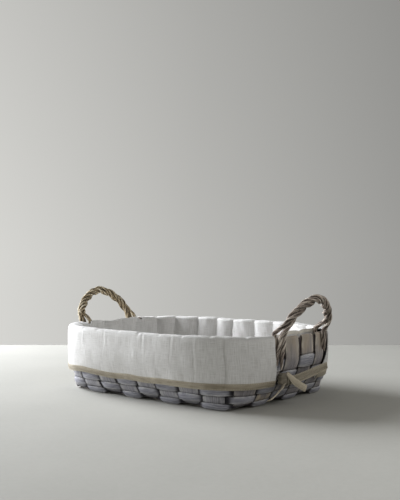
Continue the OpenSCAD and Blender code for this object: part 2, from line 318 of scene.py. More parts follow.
def new_piece(name, parts, material, nodes, sharp=50):
    """One mesh from parts, each (points, faces, uv of each corner, paint of each point)."""
    points, faces, uvs, paints = [], [], [], []
    start = 0
    for p, f, uv, paint in parts:
        points.append(p)
        faces += [tuple(int(v) + start for v in face) for face in f]
        uvs.append(uv)
        paints.append(paint)
        start += len(p)
    points = np.concatenate(points) * MM
    mesh = bpy.data.meshes.new(name)
    mesh.from_pydata(points.tolist(), [], faces)
    layer = mesh.uv_layers.new(name="Lay")
    layer.data.foreach_set("uv", (np.concatenate(uvs) * MM).astype(np.float32).ravel())
    paint = np.concatenate([with_alpha(p) for p in paints])
    colours = mesh.color_attributes.new("paint", "FLOAT_COLOR", "POINT")
    colours.data.foreach_set("color", paint.astype(np.float32).ravel())
    edit = bmesh.new()
    edit.from_mesh(mesh)
    bmesh.ops.recalc_face_normals(edit, faces=edit.faces)
    edit.to_mesh(mesh)
    edit.free()
    mesh.shade_smooth()
    mesh.set_sharp_from_angle(angle=math.radians(sharp))
    mesh.materials.append(material)
    piece = in_scene(name, mesh)
    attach(piece, "root")
    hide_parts(*nodes)
    return piece


# Moves the pattern of a sheet's back a little from that of its front
BACK_FACE_SHIFT = 0.37


def slab(rows, thickness, closed=False, tone=0.5, shift=(0.0, 0.0), paint=None):
    """A strip or sheet with a thickness, from rows of points of its middle surface."""
    n, m = rows.shape[:2]
    normals = face_normals(rows, closed)
    e = np.linspace(-1, 1, m)
    if np.ndim(thickness) == 0:
        thickness = thickness * (1 - 0.45 * np.abs(e) ** 8)
    half = normals * (np.asarray(thickness)[..., None] / 2)
    ring = np.concatenate([rows + half, (rows - half)[:, ::-1]], 1)
    k = 2 * m
    last = n if closed else n - 1
    i, j = np.meshgrid(np.arange(last), np.arange(k), indexing="ij")
    i1, j1 = (i + 1) % n, (j + 1) % k
    quads = np.stack([i * k + j, i1 * k + j, i1 * k + j1, i * k + j1], -1).reshape(-1, 4)
    u = lengths_along(rows, closed) + shift[0]
    v = lengths_across(rows)
    v = np.concatenate([v, v[::-1] + BACK_FACE_SHIFT, v[:1]]) + shift[1]

    def corner(i, j):
        return np.stack([u[i], v[j]], -1)

    corners = [corner(i, j), corner(i + 1, j), corner(i + 1, j + 1), corner(i, j + 1)]
    faces = quads.tolist()
    uv = [np.stack(corners, 2).reshape(-1, 2)]
    if not closed:
        for s in (0, n - 1):
            for a in range(m - 1):
                faces.append([s * k + a, s * k + a + 1, s * k + k - 2 - a, s * k + k - 1 - a])
                low, high = v[a], v[a + 1]
                uv.append(np.array([[u[s], low], [u[s], high], [u[s] + 1, high], [u[s] + 1, low]]))
    if paint is None:
        edge = np.broadcast_to(np.abs(e) ** 5, (n, m))
        up = np.broadcast_to((e + 1) / 2, (n, m))
        paint = np.stack([edge, up, np.full((n, m), tone)], -1)
    both = np.concatenate([paint, paint[:, ::-1]], 1).reshape(-1, paint.shape[2])
    return ring.reshape(-1, 3), faces, np.concatenate(uv), both


def tube(path, radii, sides, tone, shift, groove, squeeze, seed, ply, lay):
    """A rod along a path, made of three twisted plies, with shallow grooves that wander along it.

    groove and ply are depths as a share of the radius, lay is the length of a ply's full turn, and
    squeeze flattens the rod."""
    path = np.asarray(path, float)
    n = len(path)
    d = unit(np.gradient(path, axis=0))
    u = np.zeros_like(path)
    u[0] = unit(np.cross(d[0], [0.3, 0.1, 1.0]))
    for i in range(1, n):
        u[i] = unit(u[i - 1] - d[i] * np.dot(u[i - 1], d[i]))
    v = np.cross(u, d)
    a = 2 * np.pi * np.arange(sides) / sides
    rng = np.random.default_rng(seed)
    run = run_along(path)
    shape = np.ones((n, sides))
    for waves in (2, 3, 4, 7):
        drift = rng.uniform(0, 6.28) + run[:, None] / rng.uniform(25, 70)
        shape += groove / math.sqrt(waves) * np.sin(waves * a + drift)
    shape += groove * 0.4 * rng.standard_normal((n, sides))
    shape += ply * 2 * (np.abs(np.cos(1.5 * (a + 2 * np.pi * run[:, None] / lay))) - 0.7)
    shape *= radii[:, None]
    ring = (
        path[:, None]
        + u[:, None] * (np.cos(a) * shape)[..., None]
        + v[:, None] * (np.sin(a) * shape * squeeze[:, None])[..., None]
    )
    i, j = np.meshgrid(np.arange(n - 1), np.arange(sides), indexing="ij")
    j1 = (j + 1) % sides
    quads = np.stack([i * sides + j, i * sides + j1, (i + 1) * sides + j1, (i + 1) * sides + j], -1)
    girth = 2 * np.pi * np.max(radii) / sides
    slant = 2 * np.pi * np.max(radii) / lay

    def corner(i, j):
        return np.stack([run[i], j * girth + run[i] * slant], -1)

    corners = [corner(i, j), corner(i, j + 1), corner(i + 1, j + 1), corner(i + 1, j)]
    uv = np.stack(corners, 2).reshape(-1, 2) + np.array(shift)
    faces = quads.reshape(-1, 4).tolist()
    faces += [list(range(sides - 1, -1, -1)), [(n - 1) * sides + j for j in range(sides)]]
    caps = np.tile([[0.0, 0.0]], (2 * sides, 1)) + np.array(shift)
    proud = shape / np.maximum(radii[:, None], 1e-6) - 1
    deep = np.clip(proud / ((groove + ply) * 2 + 1e-6) + 0.5, 0, 1)
    paint = np.stack([deep, np.full((n, sides), 0.5), np.full((n, sides), tone)], -1).reshape(-1, 3)
    return ring.reshape(-1, 3), faces, np.concatenate([uv, caps]), paint


# ---- materials ----
def srgb(r, g, b):
    """Linear colour of an 8-bit screen colour."""
    c = np.array([r, g, b]) / 255
    return tuple(np.where(c <= 0.04045, c / 12.92, ((c + 0.055) / 1.055) ** 2.4)) + (1.0,)


def brighter(colour, by):
    return tuple(min(1.0, c * by) for c in colour[:3]) + (1.0,)


class Nodes:
    """Short names for the shader nodes that the finishes and the studio's light use."""

    def __init__(self, tree):
        self.tree = tree

    def node(self, kind, inputs, **settings):
        """A new node. An input may be a number, a colour or another node's output."""
        n = self.tree.nodes.new(kind)
        for key, value in settings.items():
            setattr(n, key, value)
        for socket, value in inputs.items():
            self.put(n.inputs[socket], value)
        return n

    def put(self, socket, value):
        if isinstance(value, bpy.types.NodeSocket):
            self.tree.links.new(value, socket)
        else:
            socket.default_value = value

    def math(self, operation, a, b=0.0):
        return self.node("ShaderNodeMath", {0: a, 1: b}, operation=operation).outputs[0]

    def times(self, a, b):
        return self.math("MULTIPLY", a, b)

    def plus(self, a, b):
        return self.math("ADD", a, b)

    def less(self, a, b):
        return self.math("SUBTRACT", a, b)

    def most(self, a, b):
        return self.math("MAXIMUM", a, b)

    def shares(self, a, share_a, b, share_b):
        return self.plus(self.times(a, share_a), self.times(b, share_b))

    def wave(self, along, pitch_mm):
        """A sine wave along a coordinate in metres."""
        return self.math("SINE", self.times(along, 2 * math.pi / (pitch_mm * MM)))

    def fit(self, value, low, high, to_low=0.0, to_high=1.0):
        """value taken from low..high to to_low..to_high, and held there outside."""
        inputs = {"Value": value, "From Min": low, "From Max": high, "To Min": to_low, "To Max": to_high}
        return self.node("ShaderNodeMapRange", inputs, clamp=True).outputs["Result"]

    def dot(self, vector, direction):
        inputs = {0: vector, 1: tuple(direction)}
        return self.node("ShaderNodeVectorMath", inputs, operation="DOT_PRODUCT").outputs["Value"]

    def axis(self, vector, name):
        return self.node("ShaderNodeSeparateXYZ", {"Vector": vector}).outputs[name]

    def ramp(self, value, stops):
        n = self.node("ShaderNodeValToRGB", {"Fac": value})
        e = n.color_ramp.elements
        while len(e) < len(stops):
            e.new(0.5)
        for element, (position, colour) in zip(e, stops):
            element.position = position
            element.color = colour
        return n.outputs["Color"]

    def blend(self, fac, a, b, mode="MIX"):
        mix_node = self.node("ShaderNodeMix", {0: fac, 6: a, 7: b}, data_type="RGBA", blend_type=mode)
        return mix_node.outputs[2]

    def noise(self, vector, detail, rough, twist=0.0):
        inputs = {"Vector": vector, "Scale": 1.0, "Detail": detail, "Roughness": rough, "Distortion": twist}
        return self.node("ShaderNodeTexNoise", inputs).outputs["Fac"]

    def lay(self, along=1.0, across=1.0, turn=0.0):
        """Coordinates in metres along and across the piece, scaled, then turned by some degrees."""
        uv = self.node("ShaderNodeUVMap", {}, uv_map="Lay").outputs["UV"]
        inputs = {"Vector": uv, "Scale": (along, across, 1), "Rotation": (0, 0, math.radians(turn))}
        return self.node("ShaderNodeMapping", inputs).outputs["Vector"]

    def place(self, scale=1.0):
        at = self.node("ShaderNodeTexCoord", {}).outputs["Object"]
        return self.node("ShaderNodeMapping", {"Vector": at, "Scale": (scale,) * 3}).outputs["Vector"]

    def paint(self, channel):
        """Red: worn edge, or on a rod how far the surface stands proud, for its painted highlight and
        shade. Green: place across. Blue: the piece's own tone, and on the bow its painted light and shade.
        """
        at = self.node("ShaderNodeAttribute", {}, attribute_name="paint")
        return self.node("ShaderNodeSeparateColor", {"Color": at.outputs["Color"]}).outputs[channel]

    def clean(self):
        """1 on open surfaces, down to 0 where painted shade darkens the surface: in crevices, at seams and
        on the rim away from the window.
        """
        return self.node("ShaderNodeAttribute", {}, attribute_name="paint").outputs["Alpha"]

    def bump(self, height, strength, depth_mm, under=None):
        """Relief from height, on top of the relief under it."""
        inputs = {"Strength": strength, "Distance": depth_mm * MM, "Height": height}
        if under is not None:
            inputs["Normal"] = under
        return self.node("ShaderNodeBump", inputs).outputs["Normal"]


class Finish(Nodes):
    """A procedural material."""

    def __init__(self, name, specular, sheen=0.0):
        self.material = bpy.data.materials.new(name)
        self.material.use_nodes = True
        super().__init__(self.material.node_tree)
        self.shader = self.tree.nodes["Principled BSDF"]
        values = {"Specular IOR Level": specular, "Sheen Weight": sheen, "Sheen Roughness": 0.5}
        for socket, value in values.items():
            self.shader.inputs[socket].default_value = value

    def use(self, colour, roughness, normal):
        for socket, value in (("Base Color", colour), ("Roughness", roughness), ("Normal", normal)):
            self.put(self.shader.inputs[socket], value)
        return self.material


def splint_finish(name, colours, tan_share, faded_top=0.0):
    """Stained flat splint: long grain, tan patches, pale worn edges and painted shade in the crevices."""
    dark, mid, light, tan, pale = (srgb(*c) for c in colours)
    f = Finish(name, specular=0.25)
    grain = f.noise(f.lay(45, 900), 4.0, 0.6, 0.4)
    fine = f.noise(f.lay(120, 3200), 2.0, 0.5)
    broad = f.noise(f.lay(26, 70), 3.0, 0.55)
    streak = f.shares(grain, 0.6, fine, 0.4)
    colour = f.ramp(streak, [(0.30, dark), (0.50, mid), (0.68, light)])
    own_tone = f.times(f.less(f.paint("Blue"), 0.5), 0.5)
    patch = f.fit(f.plus(broad, own_tone), 0.62 - tan_share, 0.78 - tan_share)
    if faded_top:
        near_rim = f.fit(f.axis(f.place(), "Z"), 0.050, 0.066)
        top = f.times(near_rim, f.fit(broad, 0.34, 0.56, 0.35, 1.0))
        patch = f.most(patch, f.times(top, faded_top))
    colour = f.blend(f.times(patch, 0.8), colour, f.blend(grain, tan, brighter(tan, 1.45)))
    chips = f.fit(f.noise(f.lay(90, 90), 3.0, 0.6), 0.40, 0.62)
    scratches = f.fit(f.noise(f.lay(60, 400), 3.0, 0.6), 0.35, 0.65)
    worn = f.times(f.paint("Red"), chips)
    scuff = f.times(f.fit(f.paint("Green"), 0.30, 0.0), scratches)
    wear = f.most(f.times(worn, 0.75), f.times(scuff, 0.6))
    colour = f.blend(wear, colour, pale)
    shade = f.fit(f.noise(f.lay(14, 30, 20), 2.0, 0.5), 0.3, 0.7, 0.82, 1.12)
    colour = f.blend(1.0, colour, shade, "MULTIPLY")
    # Painted shade in the crevices, where the paint's fourth channel is low
    colour = f.blend(f.fit(f.clean(), 0.0, 0.9, 0.96, 0.0), colour, CREVICE_SHADE)
    roughness = f.fit(grain, 0.3, 0.7, 0.62, 0.84)
    normal = f.bump(streak, 0.5, 0.5, f.bump(broad, 0.4, 1.2))
    return f.use(colour, roughness, normal)


def rod_finish(name, colours):
    """Twisted handle rod: coarse fibres along it, with a painted highlight on its ridges and painted shade
    in its grooves.
    """
    dark, mid, light, pale = (srgb(*c) for c in colours)
    f = Finish(name, specular=0.25)
    fibre = f.noise(f.lay(55, 1500), 4.0, 0.62, 0.5)
    coarse = f.noise(f.lay(30, 420), 3.0, 0.6, 0.6)
    streak = f.shares(fibre, 0.5, coarse, 0.5)
    colour = f.ramp(streak, [(0.37, dark), (0.46, mid), (0.54, light), (0.62, pale)])
    # Painted shade in the grooves
    groove = f.fit(f.paint("Red"), 0.55, 0.1)
    colour = f.blend(f.times(groove, 0.95), colour, brighter(dark, 0.6))
    # Painted highlight on the ridges
    ridge_highlight = f.times(f.fit(f.paint("Red"), 0.6, 0.95), f.fit(coarse, 0.42, 0.6))
    colour = f.blend(f.times(ridge_highlight, 0.85), colour, pale)
    patch = f.fit(f.noise(f.lay(35, 60), 3.0, 0.5), 0.35, 0.65, 0.65, 1.2)
    colour = f.blend(1.0, colour, patch, "MULTIPLY")
    normal = f.bump(streak, 0.7, 0.7)
    return f.use(colour, f.fit(streak, 0.3, 0.7, 0.7, 0.88), normal)


def linen_finish(name, colours):
    """Plain-weave linen: crossing threads with slubs, faint streaks both ways and soft creases."""
    light, mid, shade = (srgb(*c) for c in colours)
    f = Finish(name, specular=0.15, sheen=0.15)
    warp = f.noise(f.lay(1400, 55), 3.0, 0.62)
    weft = f.noise(f.lay(85, 1700), 3.0, 0.62)
    slub_a = f.fit(f.noise(f.lay(700, 30), 2.0, 0.6), 0.58, 0.76)
    slub_b = f.fit(f.noise(f.lay(45, 900), 2.0, 0.6), 0.60, 0.78)
    threads = f.shares(warp, 0.58, weft, 0.42)
    cloud = f.noise(f.lay(22, 22), 4.0, 0.55)
    colour = f.ramp(threads, [(0.38, shade), (0.50, mid), (0.63, light)])
    slubs = f.most(slub_a, slub_b)
    colour = f.blend(f.times(slubs, 0.3), colour, light)
    # Painted shade at the seams and on the rim away from the window, from the paint's fourth channel
    colour = f.blend(f.fit(f.clean(), 0.0, 1.0, 0.55, 0.0), colour, SEAM_SHADE)
    tint = f.fit(cloud, 0.3, 0.7, 0.94, 1.03)
    colour = f.blend(1.0, colour, tint, "MULTIPLY")
    at = f.lay()
    crossing = f.times(f.wave(f.axis(at, "X"), 2 * THREAD_PITCH), f.wave(f.axis(at, "Y"), 2 * THREAD_PITCH))
    weave = f.plus(f.times(crossing, 0.25), f.plus(threads, f.times(slubs, 0.5)))
    creases = f.noise(f.lay(70, 55, 15), 4.0, 0.6, 0.6)
    normal = f.bump(weave, 0.55, 0.35, f.bump(creases, 0.14, 2.0))
    return f.use(colour, f.fit(threads, 0.3, 0.7, 0.82, 0.96), normal)


def ribbon_finish(name, colours):
    """Twill tape: fine diagonal ribs, a stitched line along each edge, faded in places."""
    dark, mid, light, edge = (srgb(*c) for c in colours)
    f = Finish(name, specular=0.2, sheen=0.1)
    at = f.lay()
    along, across = f.axis(at, "X"), f.axis(at, "Y")
    rib = f.fit(f.wave(f.plus(along, across), RIB_PITCH), -1, 1)
    fade = f.noise(f.lay(24, 120), 4.0, 0.6)
    thread = f.noise(f.lay(60, 1500), 2.0, 0.6)
    colour = f.ramp(f.shares(fade, 0.6, thread, 0.4), [(0.36, dark), (0.5, mid), (0.64, light)])
    colour = f.blend(f.times(rib, 0.25), colour, dark)
    # The paint's blue channel brightens or darkens each strip of a bow: painted light and shade
    tone = f.fit(f.paint("Blue"), 0.0, 1.0, 0.36, 1.64)
    colour = f.blend(1.0, colour, tone, "MULTIPLY")
    side = f.math("ABSOLUTE", f.less(f.paint("Green"), 0.5))
    selvedge = f.fit(side, 0.44, 0.49)
    colour = f.blend(f.times(selvedge, 0.55), colour, edge)
    seam = f.times(f.fit(side, 0.31, 0.34), f.fit(side, 0.41, 0.38))
    dash = f.fit(f.wave(along, STITCH_PITCH), -0.5, 0.1)
    colour = f.blend(f.times(f.times(seam, dash), 0.6), colour, edge)
    height = f.plus(f.times(rib, 0.5), f.less(thread, f.times(seam, 0.8)))
    normal = f.bump(height, 0.6, 0.3)
    return f.use(colour, f.fit(thread, 0.3, 0.7, 0.78, 0.92), normal)


def floor_finish():
    f = Finish("pale_plaster_floor", specular=0.1)
    cloud = f.noise(f.place(3.5), 5.0, 0.6)
    speck = f.noise(f.place(160), 3.0, 0.6)
    colour = f.ramp(f.shares(cloud, 0.75, speck, 0.25), [(0.3, FLOOR_DARK), (0.7, FLOOR_LIGHT)])
    normal = f.bump(f.noise(f.place(90), 4.0, 0.6), 0.15, 1.5)
    return f.use(colour, 0.92, normal)


# Pitches in millimetres, then colours
THREAD_PITCH = 0.62
RIB_PITCH = 0.9
STITCH_PITCH = 3.0
# Colour of the painted shade in the splints' crevices
CREVICE_SHADE = srgb(24, 21, 27)
SEAM_SHADE = srgb(150, 147, 142)
FLOOR_DARK = srgb(169, 168, 162)
FLOOR_LIGHT = srgb(179, 178, 172)
# Splints: dark, middle and light grain, tan patches and pale wear, then the share of tan
GREY_SPLINT = splint_finish(
    "grey_stained_splint",
    [(90, 88, 95), (145, 144, 150), (194, 193, 196), (158, 150, 140), (220, 218, 215)],
    -0.14,
)
TAN_SPLINT = splint_finish(
    "tan_stained_splint",
    [(92, 87, 92), (134, 130, 133), (172, 168, 168), (178, 163, 138), (222, 214, 200)],
    -0.07,
    faded_top=0.6,
)
WEAVER_SPLINT = splint_finish(
    "blue_stained_splint",
    [(84, 84, 94), (142, 142, 151), (194, 194, 200), (156, 150, 142), (226, 225, 222)],
    -0.14,
)
# The rim band is coloured very dark: painted shade, for the shade seen between the uprights at the collar
SHADED_BAND_SPLINT = splint_finish(
    "rim_band_painted_shade", [(44, 38, 40), (66, 58, 60), (92, 84, 86), (90, 74, 60), (120, 110, 100)], -0.1
)
# Rods and ribbon: dark, middle, light, then pale, which the rods also use for the painted highlight on
# their ridges, or the ribbon's edges. Linen: light, middle, shade
GREY_ROD = rod_finish("weathered_rod", [(60, 50, 47), (136, 122, 112), (186, 174, 162), (230, 222, 210)])
GOLD_ROD = rod_finish("golden_rod", [(74, 60, 46), (154, 136, 108), (206, 190, 158), (240, 232, 212)])
RIBBON = ribbon_finish("twill_ribbon", [(128, 119, 102), (162, 153, 136), (188, 179, 161), (200, 192, 174)])
LINEN = linen_finish("linen", [(224, 223, 222), (212, 211, 209), (193, 191, 188)])
# A brighter copy of the linen for the right end's hem: painted light, standing in for the light that shines
# through the cloth
LIT_HEM_LINEN = linen_finish("linen_hem", [(244, 241, 234), (234, 230, 220), (216, 211, 200)])


# ---- woven splints ----
# Places across a splint, from one edge to the other
SIDE = np.linspace(-1, 1, 9)
UNDER, OVER = -1, 1


def upright_rows(k, flip, seed):
    """Rows of points of one upright, from its tucked tail over the rim and down to the base."""
    rng = np.random.default_rng(seed)
    tail = [(z, -2 * FOLD_R) for z in np.arange(TAIL_Z, FOLD_Z, 3.0)]
    bends = np.linspace(math.pi, 0, 13)
    fold = [(FOLD_Z + FOLD_R * math.sin(a), FOLD_R * (math.cos(a) - 1)) for a in bends]
    signs = [UNDER if (row + k) % 2 else OVER for row in range(len(ROWS))]
    zs = np.arange(FOLD_Z - 1.5, 3.9, -1.25)
    push = ease(zs, [-2] + ROW_MIDS + [63], [0] + [0.45 * s for s in signs] + [0])
    wall = list(zip(zs, push))
    prof = np.array(tail + fold + wall)
    z_at = np.minimum(prof[:, 0], FOLD_Z)
    th = upright_th(k, z_at)
    width = mix(SPLINT_W_BASE, SPLINT_W_RIM, flare(z_at))
    width = width - ease(prof[:, 0], [0, 68, 79, 90], [0, 0, 2.6, 2.6])
    width = np.where(prof[:, 1] < -FOLD_R, TAIL_W, width)
    every = 9
    knots = np.arange(0, len(prof) + every, every)
    width = width + np.interp(np.arange(len(prof)), knots, rng.uniform(-0.5, 0.3, len(prof) // every + 2))
    lean = rng.uniform(-0.5, 0.5) * np.clip(prof[:, 0] / WALL_H, 0, 1)
    per = mm_per_degree(th, z_at)
    sides = SIDE[::-1] if flip else SIDE
    angle = th[:, None] + (sides[None] * width[:, None] / 2 + lean[:, None]) / per[:, None]
    cup = 0.35 * (SIDE**2)[None] * np.clip((prof[:, 0] - 8) / 20, 0, 1)[:, None]
    off = prof[:, 1:2] - cup * np.where(prof[:, 1:2] < -FOLD_R, -0.5, 1)
    return on_wall(angle, z_at[:, None], off, prof[:, 0:1])


def base_rows(i, along_y):
    """The flat run under the base, over and under the splints that it crosses."""
    if along_y:
        mine, number, others, count = CROSS_BASE, CROSS_COUNT, LONG_BASE, LONG_COUNT
    else:
        mine, number, others, count = LONG_BASE, LONG_COUNT, CROSS_BASE, CROSS_COUNT
    centre = spread(i, number, mine)
    end = (BASE_WID if along_y else BASE_LEN) / 2 - 3.5
    at = np.linspace(-end, end, 84)
    mids = [spread(j, count, others) for j in range(count)]
    signs = [UNDER if (i + j) % 2 == along_y else OVER for j in range(count)]
    wave = ease(at, [-end - 8] + mids + [end + 8], [0] + signs + [0])
    z = BASE_MID_Z + 0.85 * np.sin(np.pi / 2 * wave)
    x = centre + SIDE[None] * SPLINT_W_BASE / 2 + 0 * at[:, None]
    if along_y:
        return np.stack([x, at[:, None] + 0 * x, z[:, None] + 0 * x], -1)
    return np.stack([at[:, None] + 0 * x, 2 * centre - x, z[:, None] + 0 * x], -1)


def splint(name, first, second, i, along_y, material, seed):
    """Splint i of its kind, from upright first, under the base, to upright second."""
    start = upright_rows(first, False, seed)
    end = upright_rows(second, True, seed + 50)[::-1]
    base = base_rows(i, along_y)
    rows = np.concatenate([start, base, end])
    turns = [len(start) - 0.5, len(start) + len(base) - 0.5]
    rows = soften(rows, turns, 3.5, 14)
    tone = np.random.default_rng(seed).uniform(0, 1)
    e = np.abs(SIDE)[None] + 0 * rows[..., 2]
    z = rows[..., 2]
    # Painted shade where a weaver crosses it, and beside its own edges
    edges = np.array([row[0] - 0.35 for row in ROWS[1:]])
    tucked = hill(z[..., None] - edges, 1.5).max(-1)
    halves = [(first, slice(0, len(start))), (second, slice(len(rows) - len(end), len(rows)))]
    for k, part_of in halves:
        if (len(ROWS) - 1 + k) % 2:
            tucked[part_of] = np.maximum(tucked[part_of], hill(z[part_of] - ROWS[-1][1] - 0.3, 1.5))
    clean = 1 - np.clip(0.6 * tucked + 0.25 * e**8, 0, 1) * (z > 6)
    paint = np.stack([e**5, (SIDE[None] + 1) / 2 + 0 * z, tone + 0 * z, clean], -1)
    part = slab(rows, SPLINT_T, shift=(seed * 531.0, seed * 77.0), paint=paint)
    return new_piece(name + "_wood", [part], material, [name])


for i in range(CROSS_COUNT):
    name, back = f"cross_splint_{i + 1}", FIRST_LEFT - 1 - i
    splint(name, i, back, i, True, GREY_SPLINT, 10 + i)
for i in range(LONG_COUNT):
    name, left = f"long_splint_{i + 1}", UPRIGHTS - 1 - i
    splint(name, left, FIRST_RIGHT + i, i, False, TAN_SPLINT, 30 + i)


def ring_wobble(rng, k):
    """A random offset at each upright, eased between them, that closes on itself."""
    v = rng.uniform(-0.45, 0.45, UPRIGHTS)
    return np.interp(k, np.arange(UPRIGHTS + 1), np.append(v, v[0]))


STEPS_PER_UPRIGHT = 18
for row, (low, high) in enumerate(ROWS):
    rng = np.random.default_rng(60 + row)
    k = np.arange(UPRIGHTS * STEPS_PER_UPRIGHT) / STEPS_PER_UPRIGHT
    flip = 1 if row % 2 else -1
    wave = np.sin(np.pi / 2 * np.cos(np.pi * k)) * flip
    inner = np.clip((1 - wave) / 2, 0, 1)
    bottom = np.maximum(low - 0.2, 5.0 * inner) if row == 0 else np.full(len(k), low - 0.2)
    top = high + 0.25 + ring_wobble(rng, k) * 0.8
    bottom = np.maximum(bottom + ring_wobble(rng, k) * 0.8, 0.25)
    # Narrower and bowed where it dives between two uprights
    dive = np.clip(1 - np.abs(wave), 0, 1)
    middle, reach = (bottom + top) / 2, (top - bottom) / 2 * (1 - 0.2 * dive)
    z = middle[:, None] + reach[:, None] * SIDE[None]
    depth = np.where(wave > 0, 2.2, 1.5)
    pillow = 0.9 * (np.abs(SIDE) ** 2.4)[None] * np.clip(wave, -0.25, 1)[:, None]
    off = (wave * depth)[:, None] - pillow
    rows = on_wall(upright_th(k[:, None], z), z, off, z)
    # Painted shade where the weaver turns between two uprights and where it runs behind them
    clean = 1 - np.clip(hill(wave + 0.2, 0.42) + (wave < -0.15) * 0.8, 0, 1)
    e = np.abs(SIDE)[None] + 0 * z
    tone = rng.uniform(0.2, 0.8)
    paint = np.stack([e**4, (SIDE[None] + 1) / 2 + 0 * z, tone + 0 * z, clean[:, None] + 0 * z], -1)
    part = slab(rows, WEAVER_T, closed=True, shift=(row * 913.0, row * 57.0), paint=paint)
    name = f"weaver_{row + 1}"
    new_piece(name + "_wood", [part], WEAVER_SPLINT, [name])

ring_th = np.arange(0, 360, 1.5)
band_z = np.linspace(TAIL_Z - 3, FOLD_Z - 0.2, 7)
rows = on_wall(ring_th[:, None], COLLAR_Z, -FOLD_R + 0 * band_z[None], band_z[None])
part = slab(rows, BAND_T - 0.2, closed=True)
rim_band = new_piece("inner_rim_band_wood", [part], SHADED_BAND_SPLINT, ["inner_rim_band"])

# ---- handles ----
# Takes a point of the right end to the left end
HALF_TURN = np.array([-1, -1, 1])
# Distance between a handle's feet, and how far its feet and its top stand to one side
HANDLE_SPAN = 92.0
HANDLE_SHIFT = 5.0
HANDLE_TOP_SHIFT = 1.0
HANDLE_TOP = 124.0
HANDLE_FOOT = 86.0
HANDLE_LEAN = 19.0
HANDLE_POWER = 1.7
# A rod's radius, the radius that it winds at, and the length of a full turn of the rope and of
# a rod's plies
ROD_R = 2.5
ROPE_R = 3.1
ROPE_LAY = 48.0
PLY_LAY = 36.0
# Height where a leg leaves the rope, and the heights that it passes inside and outside the rim
LEG_TOP = 84.0
LEG_HEIGHTS_INSIDE = [84.5, 79, 73, 67]
LEG_HEIGHTS_OUTSIDE = [82, 75, 68, 61]
# Each rod at its near and its far foot: inside the rim or not, place at the rim, place and height
# at its end
LEGS = [
    [(True, -1, -2, 62), (False, -3.5, -2.5, 58)],
    [(False, -2.5, -9.5, 50), (True, -1, -2, 62)],
    [(False, 3.5, -3.5, 44), (False, 3, 3.5, 60)],
]
FEET = (HANDLE_SHIFT - HANDLE_SPAN / 2, HANDLE_SHIFT + HANDLE_SPAN / 2)
arch_a = np.radians(np.linspace(0, 180, 121))
arch_up = np.abs(np.sin(arch_a)) ** (2 / HANDLE_POWER)
arch_y = -np.sign(np.cos(arch_a)) * HANDLE_SPAN / 2 * np.abs(np.cos(arch_a)) ** (2 / HANDLE_POWER)
ARCH = np.stack(
    [
        COLLAR_LEN / 2 + 2 + HANDLE_LEAN * arch_up,
        arch_y + mix(HANDLE_SHIFT, HANDLE_TOP_SHIFT, arch_up),
        mix(HANDLE_FOOT, HANDLE_TOP, arch_up),
    ],
    -1,
)
ARCH_RUN = run_along(ARCH)


def twisted(r):
    """Middle line of rod r in the rope."""
    d = unit(np.gradient(ARCH, axis=0))
    side = unit(np.cross(d, [1, 0, 0.4]))
    lift = np.cross(d, side)
    a = 2 * np.pi * ARCH_RUN / ROPE_LAY + 2 * np.pi * r / 3 + np.pi / 2
    rope = ARCH + (side * np.cos(a)[:, None] + lift * np.sin(a)[:, None]) * ROPE_R
    return rope[9:-9]


def leg(foot_y, inside, rim_y, end_y, bottom):
    """Middle line of the end of a rod, from the rim down along the wall."""
    off = -2 * FOLD_R - 0.6 - 0.3 - ROD_R if inside else 0.6 + 0.3 + ROD_R
    points = []
    for z in (LEG_HEIGHTS_INSIDE if inside else LEG_HEIGHTS_OUTSIDE) + [bottom]:
        up = np.clip((z - bottom) / (LEG_TOP - bottom), 0, 1)
        th = th_of_y(foot_y + mix(end_y, rim_y, soft_step(up)), COLLAR_Z)
        points.append(on_wall(th, max(z, TAIL_Z), off + (2.0 if z < TAIL_Z else 0.0), z))
    return np.array(points)


def handle_rod(r, left):
    near, far = LEGS[r]
    rope = twisted(r)
    path = np.concatenate([leg(FEET[0], *near)[::-1], rope[::6], rope[-1:], leg(FEET[1], *far)])
    path = curve_through(path, 8)
    run = run_along(path)
    from_end = np.minimum(run, run[-1] - run)
    radii = ROD_R * ease(from_end, [0, 5, 16, 400], [0.35, 0.75, 1.0, 1.0])
    squeeze = ease(from_end, [0, 10, 26, 400], [0.55, 0.75, 1.0, 1.0])
    if left:
        path = path * HALF_TURN
    side = "left" if left else "right"
    seed = 80 + r + (10 if left else 0)
    shift = (seed * 301.0, seed * 41.0)
    part = tube(path, radii, 24, 0.3 + 0.2 * r, shift, 0.07, squeeze, seed, 0.13, PLY_LAY)
    name = f"{side}_handle_rod_{r + 1}"
    finish = GOLD_ROD if left else GREY_ROD
    return new_piece(name + "_strand", [part], finish, [name], sharp=80)


for r in range(3):
    handle_rod(r, False)
    handle_rod(r, True)

# ---- liner ----
fine_th = np.arange(-180, 180.01, 0.25)
fine_xy = outline(fine_th, COLLAR_Z)
FINE_RUN = run_along(fine_xy)
ROUND = FINE_RUN[-1]


def run_of(th):
    """Distance round the collar to direction th, from the middle of the left end."""
    th = np.asarray(th, float)
    turns = np.floor((th + 180) / 360)
    return np.interp(th - 360 * turns, fine_th, FINE_RUN) + turns * ROUND


def th_of_run(s):
    s = np.asarray(s, float)
    turns = np.floor(s / ROUND)
    return np.interp(s - turns * ROUND, FINE_RUN, fine_th) + 360 * turns


# A crease of the tub's wall near each upright. The first and the last repeat their neighbours
CREASES = np.sort(run_of(TH_COLLAR) % ROUND)
CREASES = np.concatenate([[CREASES[-1] - ROUND], CREASES, [CREASES[0] + ROUND]])
rng = np.random.default_rng(7)


def for_creases(low, high):
    v = rng.uniform(low, high, len(CREASES))
    v[0], v[-1] = v[-2], v[1]
    return v


CREASE_SHIFT = for_creases(-3, 3)
CREASE_LEAN = for_creases(-0.16, 0.16)
CREASE_DEPTH = for_creases(0.6, 1.25)
crumple = ripples(11, 26, 60, 12, ROUND)
ripple_long = ripples(12, 14, 180, 60, ROUND)


